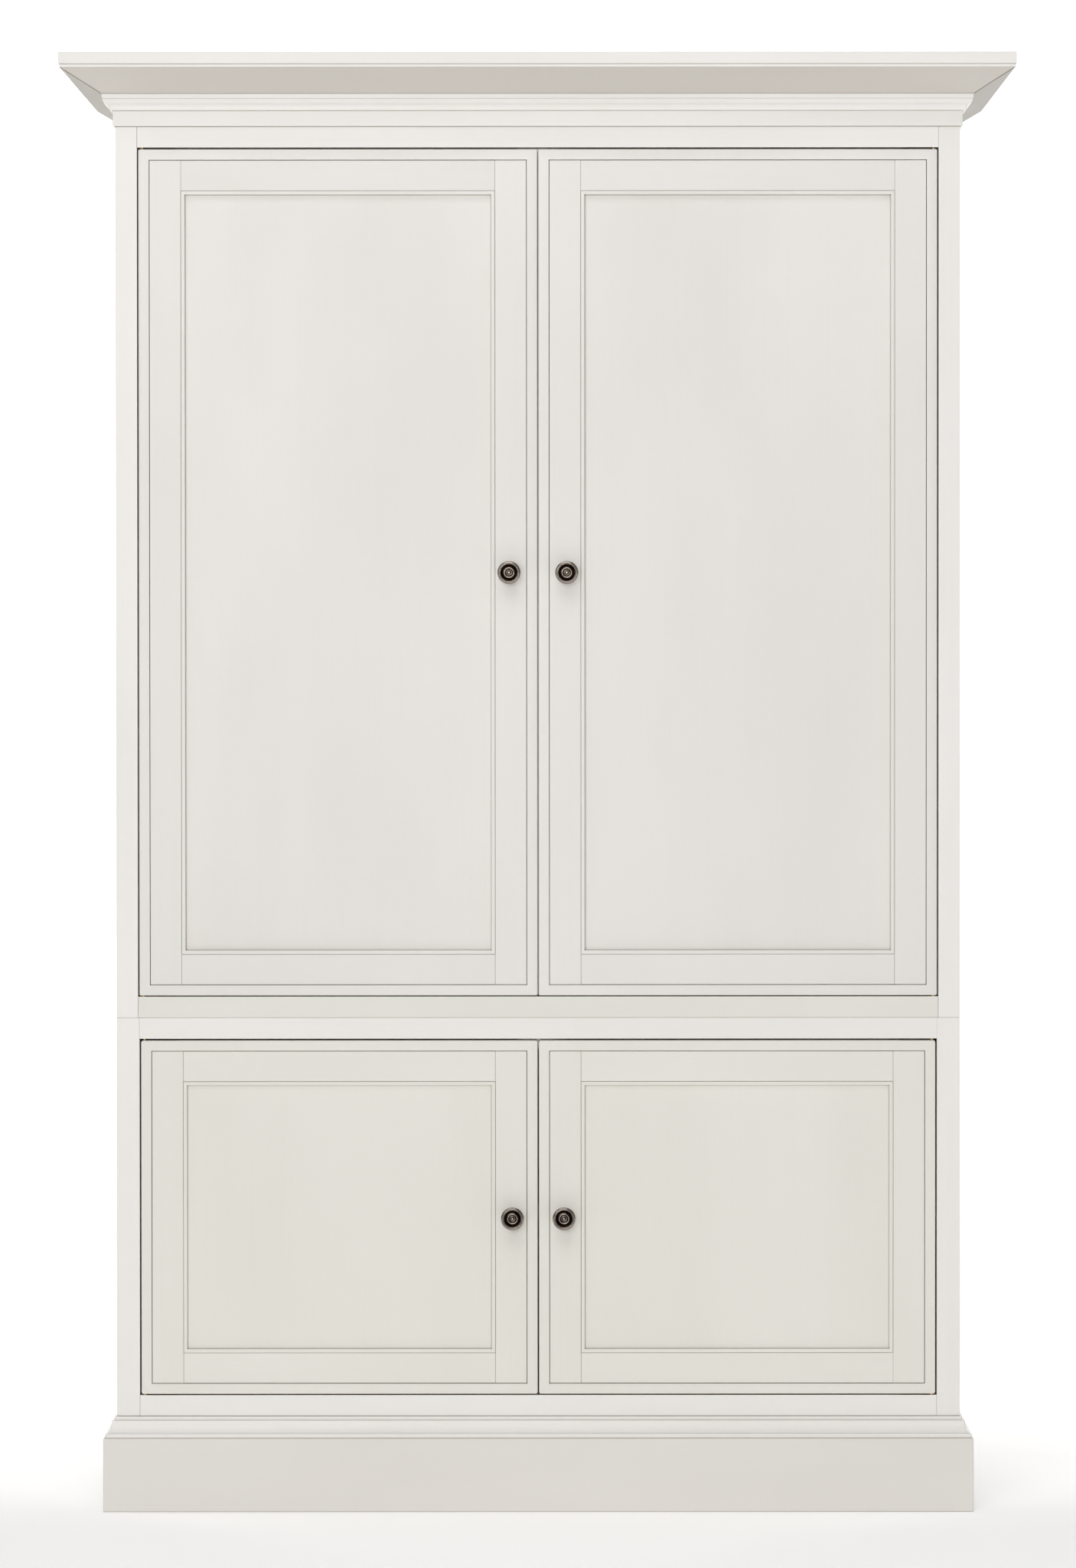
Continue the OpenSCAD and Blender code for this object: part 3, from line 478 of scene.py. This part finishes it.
pewter = antique_pewter("antique_pewter")
brass = brushed_metal("satin_brass", (0.62, 0.47, 0.25), 0.34)
steel = brushed_metal("plain_steel", (0.60, 0.60, 0.60), 0.36)
print("metals mixed")


# %% [markdown]
# ## The boards
# Sides, stiles, rails, panels and shelves are already the right size, so they stay as they
# are and only lose their knife edges. A bevel that is added as a modifier leaves the board's
# own mesh alone. Where a rail meets a stile, the two small bevels make the fine line that
# such a joint shows through paint. The mesh is welded first, because a bevel only works on
# an edge that two faces share. Flat faces are merged next, except on the door stiles, where
# the hole for the knob's screw would leave a fine line across the merged face.

# %% Soften and paint the boards
def soften(node_name, width, segments=3):
    """Welds a board's mesh and rounds its edges, without touching the mesh itself."""
    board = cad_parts[node_name]
    weld = board.modifiers.new("weld", "WELD")
    weld.merge_threshold = 1e-6
    if not node_name.endswith("door_stiles"):
        flat = board.modifiers.new("flat_faces", "DECIMATE")
        flat.decimate_type = "DISSOLVE"
        flat.angle_limit = math.radians(1)
    bevel = board.modifiers.new("eased_edges", "BEVEL")
    bevel.width = width
    bevel.segments = segments
    bevel.limit_method = "ANGLE"
    bevel.angle_limit = math.radians(40)
    bevel.use_clamp_overlap = False
    return board


def finish_with(node_name, material):
    """Gives a node one material in place of what it had."""
    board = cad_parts[node_name]
    board.data.materials.clear()
    board.data.materials.append(material)


EDGE = 0.8 * MM
boards = {
    "plinth_boards": plinth_level,
    "lower_left_side": upright_paint, "lower_right_side": upright_paint,
    "upper_left_side": upright_paint, "upper_right_side": upright_paint,
    "lower_face_stiles": upright_paint, "upper_face_stiles": upright_paint,
    "lower_face_rails": level_paint, "upper_face_rails": upper_rail_paint,
    "lower_back_panel": inner_upright_paint, "upper_back_panel": inner_upright_paint,
    "lower_top_panel": inner_level_paint, "upper_top_panel": inner_level_paint,
    "lower_bottom_panel": inner_level_paint, "upper_bottom_panel": inner_level_paint,
    "lower_shelf": inner_level_paint, "upper_shelf": inner_level_paint,
    "frieze_boards": level_paint, "cornice_top": level_paint,
}
for name in DOORS:
    low_door = name.startswith("lower")
    boards[f"{name}_stiles"] = lower_upright if low_door else door_upright
    boards[f"{name}_rails"] = lower_level if low_door else door_level
    boards[f"{name}_panel"] = lower_upright if low_door else door_upright
for name, paint in boards.items():
    soften(name, EDGE)
    finish_with(name, paint)
for name in ("hanging_rod", "rod_sockets", "shelf_pins", "case_bolts", "magnetic_catches"):
    finish_with(name, steel)
finish_with("hinge_plates", brass)
for name in DOORS:
    finish_with(f"{name}_strike_plate", steel)
    finish_with(f"{name}_hinge_leaves", brass)
print("boards softened:", len(boards))


# %% [markdown]
# ## Mouldings
# A moulding is planed in one long length, cut at 45 degrees and glued round the corner. Each
# of the three lengths is the same outline, drawn as a distance out from the case and a
# height. At a mitre every point of the outline lies as far along as it stands out, so the
# end ring is the outline pushed out on both axes, and the two ends meet without trimming.

# %% Cut and mitre a moulding
MITRE_GAP = 0.3 * MM


def moulding_ring(outline, side_x, end_y):
    """The outline at one end: side_x and end_y turn a distance out into a place."""
    return [Vector((side_x(out), end_y(out), z)) for out, z in outline]


def mitred_moulding(name, node_name, outline, material_front, material_side):
    """Front and side lengths of one moulding, each a closed solid."""
    parts = []
    mesh_builder = bmesh.new()
    join_rings(mesh_builder, [
        moulding_ring(outline, lambda out: -HALF_W - out + MITRE_GAP, lambda out: FACE_Y - out),
        moulding_ring(outline, lambda out: HALF_W + out - MITRE_GAP, lambda out: FACE_Y - out),
    ], closed=False)
    parts.append(object_from(mesh_builder, name + "_front"))
    parts[0].data.materials.append(material_front)
    for side, word in ((-1, "left"), (1, "right")):
        mesh_builder = bmesh.new()
        join_rings(mesh_builder, [
            moulding_ring(outline, lambda out: side * (HALF_W + out),
                          lambda out: FACE_Y - out + MITRE_GAP),
            moulding_ring(outline, lambda out: side * (HALF_W + out), lambda out: BACK_Y),
        ], closed=False)
        parts.append(object_from(mesh_builder, f"{name}_{word}"))
        parts[-1].data.materials.append(material_side)
    for part in parts:
        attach(part, "cabinet")
        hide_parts(node_name)
    print(name, "lengths:", len(parts))
    return parts


# %% [markdown]
# ### The crown
# The crown is a flat board that leans out from the frieze to a thin lip under the top board.
# Its underside is what shows, in shade. The lean comes from two points: the lip's lower
# edge, and the corner where the bead moulding's top fillet meets the slope.

# %% Plane the crown
crown_low, crown_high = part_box("crown_moulding")
bead_low, bead_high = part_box("bead_moulding")
frieze_low, frieze_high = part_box("frieze_boards")
LIP_OUT = crown_high.x - HALF_W
LIP_TOP = crown_high.z
FRIEZE_OUT = frieze_high.x - HALF_W
BEAD_OUT = bead_high.x - HALF_W
LIP_H = 4.5 * MM
BEAD_TOP = bead_high.z
SLOPE = (LIP_TOP - LIP_H - BEAD_TOP) / (LIP_OUT - BEAD_OUT)


def on_slope(out):
    """Height of the crown's leaning underside at a distance out from the case."""
    return LIP_TOP - LIP_H - (LIP_OUT - out) * SLOPE


CROWN_THICK = 18 * MM
CROWN_RISE = CROWN_THICK * math.sqrt(1 + SLOPE * SLOPE)
crown_outline = eased([
    (FRIEZE_OUT, on_slope(FRIEZE_OUT)),
    (LIP_OUT, LIP_TOP - LIP_H),
    (LIP_OUT, LIP_TOP),
    (LIP_OUT - (CROWN_RISE - LIP_H) / SLOPE, LIP_TOP),
    (FRIEZE_OUT, on_slope(FRIEZE_OUT) + CROWN_RISE),
], [0, 0.8 * MM, 0.6 * MM, 0, 0])
# Faces that point down take the darker paint: painted shade on the crown's underside.
for part in mitred_moulding("crown", "crown_moulding", crown_outline, level_paint, return_paint):
    part.data.materials.append(crown_underside_shade if part.name.endswith("front") else crown_return_shade)
    for face in part.data.polygons:
        if face.normal.z < -0.5:
            face.material_index = 1


# %% [markdown]
# A mitre on a wide slope always opens a hair as the wood dries, and the open joint lies in
# shade. A thin dark brown strip laid along each mitre is painted shade that shows that line.

# %% Lay painted shade along the crown's mitres
MITRE_SHADE_BROWN = (0.33, 0.29, 0.25)
# Painted shade: a dark brown strip in each mitre, where the open joint lies in shade.
shade_strip_paint = painted_wood("mitre_filler", "X", MITRE_SHADE_BROWN, offset=71.0, shine=0.6)
MITRE_SHADE = 0.45 * MM
for side, word in ((-1, "left"), (1, "right")):
    start = Vector((side * (HALF_W + BEAD_OUT), FACE_Y - BEAD_OUT, BEAD_TOP))
    end = Vector((side * (HALF_W + LIP_OUT), FACE_Y - LIP_OUT, LIP_TOP - LIP_H))
    mesh_builder = bmesh.new()
    rings = []
    for at in (start.lerp(end, 0.01), start.lerp(end, 0.985)):
        rings.append([at + Vector((x * MITRE_SHADE, y * MITRE_SHADE, z * MITRE_SHADE))
                      for x, y, z in ((-1, -1, 0), (1, 1, 0), (1, 1, 1.2), (-1, -1, 1.2))])
        for corner_point in rings[-1]:
            corner_point.x = at.x + side * (corner_point.x - at.x)
            corner_point.z -= 0.3 * MM
    join_rings(mesh_builder, rings, closed=False)
    strip = object_from(mesh_builder, f"crown_mitre_{word}")
    strip.data.materials.append(shade_strip_paint)
    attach(strip, "cabinet")
    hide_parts("crown_moulding")
print("mitres filled")

# %% [markdown]
# ### The bead moulding
# Under the crown runs a small moulding: a flat fillet, a fine quirk, a round that turns in
# underneath, a hollow in shadow and a small foot. The round is a quarter of an ellipse, and
# the hollow below it runs back to the foot with a short arc.

# %% Plane the bead moulding
FILLET_H = 7.3 * MM
QUIRK = 1.2 * MM
ROUND_H = 7.0 * MM
ROUND_IN = 5.0 * MM
FOOT_OUT = FRIEZE_OUT + 5.0 * MM
FOOT_H = 6.0 * MM
ARC_STEPS = 12


def quarter(centre, reach, start, end):
    """Points of an ellipse about a centre, from one angle to another."""
    turn = [math.radians(start + (end - start) * k / ARC_STEPS) for k in range(ARC_STEPS + 1)]
    return [(centre[0] + reach[0] * math.cos(a), centre[1] + reach[1] * math.sin(a)) for a in turn]


BEAD_BOTTOM = bead_low.z
round_top = BEAD_TOP - FILLET_H
round_out = BEAD_OUT - QUIRK
round_foot = (round_out - ROUND_IN, round_top - ROUND_H)
bead_outline = (
    [(FRIEZE_OUT, BEAD_BOTTOM), (FRIEZE_OUT, on_slope(FRIEZE_OUT))]
    + eased([(BEAD_OUT - 3 * MM, on_slope(BEAD_OUT - 3 * MM)), (BEAD_OUT, BEAD_TOP),
             (BEAD_OUT - 0.6 * MM, round_top + 0.4 * MM), (round_out - 0.8 * MM, round_top)],
            [0, 0.5 * MM, 0.9 * MM, 0])
    + quarter((round_out - ROUND_IN, round_top), (ROUND_IN, -ROUND_H), 0, 90)
    + quarter((round_foot[0], BEAD_BOTTOM + FOOT_H),
              (FOOT_OUT - round_foot[0], round_foot[1] - BEAD_BOTTOM - FOOT_H), 90, 0)
    + [(FOOT_OUT - 0.4 * MM, BEAD_BOTTOM + 1.0 * MM), (FOOT_OUT - 1.5 * MM, BEAD_BOTTOM)]
)
mitred_moulding("bead", "bead_moulding", bead_outline, bead_painted_light, bead_return)

# %% [markdown]
# ### The plinth cap
# The cap steps out from the case to the plinth: two fillets with eased edges, a hollow, and
# a foot fillet that leaves a narrow ledge on the plinth boards.

# %% Plane the plinth cap
cap_low, cap_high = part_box("plinth_cap")
CAP_TOP = cap_high.z
CAP_BOTTOM = cap_low.z
CAP_OUT = cap_high.x - HALF_W
CAP_IN = -22 * MM
CAP_TOP_H = 5.5 * MM
CAP_STEP_H = 5.0 * MM
CAP_FOOT_H = 6.0 * MM
cap_step_z = CAP_TOP - CAP_TOP_H
cove_top = cap_step_z - CAP_STEP_H
cove_bottom = CAP_BOTTOM + CAP_FOOT_H
cap_outline = (
    [(CAP_IN, CAP_BOTTOM), (CAP_IN, CAP_TOP)]
    + eased([(2 * MM, CAP_TOP), (3 * MM, CAP_TOP), (3 * MM, cap_step_z), (7 * MM, cap_step_z),
             (7 * MM, cove_top), (CAP_OUT - 8 * MM, cove_top)],
            [0, 0.7 * MM, 0.3 * MM, 1.4 * MM, 0, 0])[:-1]
    + quarter((CAP_OUT - 0.6 * MM, cove_top),
              (-(CAP_OUT - 7.6 * MM), cove_bottom - cove_top), 0, 90)
    + eased([(CAP_OUT - 0.6 * MM, cove_bottom), (CAP_OUT, cove_bottom),
             (CAP_OUT, CAP_BOTTOM), (CAP_OUT - 5 * MM, CAP_BOTTOM)], [0, 0.4 * MM, 0, 0])
)
mitred_moulding("plinth_cap", "plinth_cap", cap_outline, level_paint, return_paint)


# %% Add the cap's plain length at the back
def plain_board(name, low, high, edge, material, body):
    """A rectangular board with eased edges, between two corners."""
    mesh_builder = bmesh.new()
    corners = [(x, y) for x, y in ((low[0], low[1]), (high[0], low[1]),
                                   (high[0], high[1]), (low[0], high[1]))]
    outline = eased(corners, edge, 3)
    rings = [[Vector((p.x, p.y, z)) for p in outline] for z in (low[2], high[2])]
    join_rings(mesh_builder, rings, closed=False)
    board = object_from(mesh_builder, name)
    board.data.materials.append(material)
    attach(board, body)
    return board


cap_back = plain_board("plinth_cap_back", (-HALF_W - CAP_IN, BACK_Y + CAP_IN, CAP_BOTTOM),
                       (HALF_W + CAP_IN, BACK_Y, CAP_TOP), 0.5 * MM, level_paint,
                       "cabinet")
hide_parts("plinth_cap")


# %% [markdown]
# ## Door beads
# Each door is edged by a raised band with softly rounded corners, and the panel is framed by
# a small bead. Both are one outline carried round a rectangle. A ring of points is laid at
# each corner, and where the corner is rounded the ring fans out in a few steps.

# %% Carry an outline round a rectangle
def framed_bead(name, low, high, outline, corner, steps=5):
    """outline holds (distance in from the edge, depth); corner is the outer corner radius."""
    mesh_builder = bmesh.new()
    rings = []
    spots = [((low[0], low[1]), (1, 1), 180), ((high[0], low[1]), (-1, 1), 270),
             ((high[0], high[1]), (-1, -1), 0), ((low[0], high[1]), (1, -1), 90)]
    for (cx, cz), (sx, sz), start in spots:
        for k in range(steps + 1):
            turn = math.radians(start + 90 * k / steps)
            ring = []
            for inward, depth in outline:
                reach = max(corner - inward, 0)
                shift = max(corner, inward)
                ring.append(Vector((cx + sx * shift + reach * math.cos(turn), depth,
                                    cz + sz * shift + reach * math.sin(turn))))
            rings.append(ring)
    join_rings(mesh_builder, rings, closed=True)
    return object_from(mesh_builder, name)


def on_door(piece, door, slot, *nodes):
    """The piece swings with the door and stands for these nodes."""
    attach(piece, door)
    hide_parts(*nodes)


# %% Run the beads round each door
CORNER = 3.2 * MM
QUIRK_W = 0.5 * MM
PANEL_BEAD_W = 5.5 * MM
PANEL_QUIRK = 0.1 * MM
for door in DOORS:
    low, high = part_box(f"{door}_edge_bead")
    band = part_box(f"{door}_stiles")[0].x - low.x
    step = 0.4 * MM if door.startswith("lower") else 0.9 * MM
    inner = step + band - QUIRK_W
    band_outline = eased([(step, low.y), (inner, low.y), (inner, high.y),
                          (0, high.y), (0, low.y + 3 * MM), (step, low.y + 3 * MM)],
                         [0.9 * MM, 0.7 * MM, 0, 0, 0.3 * MM, 0])
    piece = framed_bead(f"{door}_band", (low.x - step, low.z - step),
                        (high.x + step, high.z + step), band_outline, CORNER)
    piece.data.materials.append(boards[f"{door}_stiles"])
    on_door(piece, door, "white_paint", f"{door}_edge_bead")

    low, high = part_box(f"{door}_panel_bead")
    bead_outline_in = eased([(PANEL_QUIRK, low.y), (PANEL_BEAD_W, low.y),
                             (PANEL_BEAD_W, high.y), (PANEL_QUIRK, high.y)],
                            [0.9 * MM, 1.3 * MM, 0, 0])
    piece = framed_bead(f"{door}_panel_edge", (low.x, low.z), (high.x, high.z),
                        bead_outline_in, 0.0, steps=1)
    piece.data.materials.append(boards[f"{door}_stiles"])
    on_door(piece, door, "white_paint", f"{door}_panel_bead")
print("beads on", len(DOORS), "doors")

# %% [markdown]
# ## Knobs
# Each knob is a shallow dish on a neck. From the rim inwards there is a rolled edge, a
# step, a deep hollow, a raised ring, and a small nipple in the middle. A lathe is the natural
# way to make it: half of its outline, turned round the axis.


# %% Turn a knob
def arc(cx, cy, radius, start, end, steps=6):
    """Points round a centre, from one angle to another, in millimetres."""
    turn = [math.radians(start + (end - start) * k / steps) for k in range(steps + 1)]
    return [(cx + radius * math.cos(a), cy + radius * math.sin(a)) for a in turn]


# Radius and distance out from the stile, in millimetres, from the foot to the nipple.
KNOB_WIDE = 34
KNOB_TALL = 23.6
knob_outline = (
    [(0, 0), (9.4, 0)] + arc(9.2, 0.8, 0.8, -90, 90) + [(7.4, 2.0)]
    + arc(7.4, 4.0, 2.0, 270, 180) + [(5.4, 9.0), (5.8, 12.5)]
    + [(7.2, 15.6), (10.4, 18.2), (14.2, 19.8)]
    + arc(15.2, 21.6, 1.8, -60, 80, 8)
    + arc(14.6, 22.9, 0.7, 60, 130, 3)
    + [(13.9, 22.6)] + arc(13.4, 23.0, 0.6, 0, 140, 4)
    + [(11.9, 22.1), (10.6, 20.4), (9.6, 19.2), (8.8, 18.7), (8.2, 19.0)]
    + arc(6.9, 21.2, 1.25, -20, 190, 9)
    + [(5.1, 20.2), (4.4, 19.5), (3.4, 19.4)]
    + [(2.6, 20.0), (2.3, 21.4)] + arc(0.9, 22.2, 1.4, 0, 90, 5) + [(0, KNOB_TALL)]
)


def turned(name, outline, centre, spokes=64):
    """The outline turned round an axis that points out of the door, towards -Y."""
    mesh_builder = bmesh.new()
    rings = []
    for k in range(spokes):
        a = 2 * math.pi * k / spokes
        rings.append([mesh_builder.verts.new((r * MM * math.cos(a), -out * MM, r * MM * math.sin(a)))
                      for r, out in outline])
    for here, following in zip(rings, rings[1:] + rings[:1]):
        for i in range(len(outline) - 1):
            mesh_builder.faces.new((here[i], here[i + 1], following[i + 1], following[i]))
    made = object_from(mesh_builder, name, 50)
    made.location = centre
    return made


for door in DOORS:
    low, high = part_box(f"{door}_knob")
    stile_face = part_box(f"{door}_stiles")[0].y
    centre = Vector(((low.x + high.x) / 2, stile_face, (low.z + high.z) / 2))
    grow = (stile_face - low.y) / (KNOB_TALL * MM)
    widen = (high.x - low.x) / (KNOB_WIDE * MM)
    outline = [(r * widen, out * grow) for r, out in knob_outline]
    knob = turned(f"{door}_pull", outline, centre)
    knob.data.materials.append(pewter)
    on_door(knob, door, "knob_pewter", f"{door}_knob")
print("knobs turned:", len(DOORS), "with", len(knob_outline), "points in the outline")
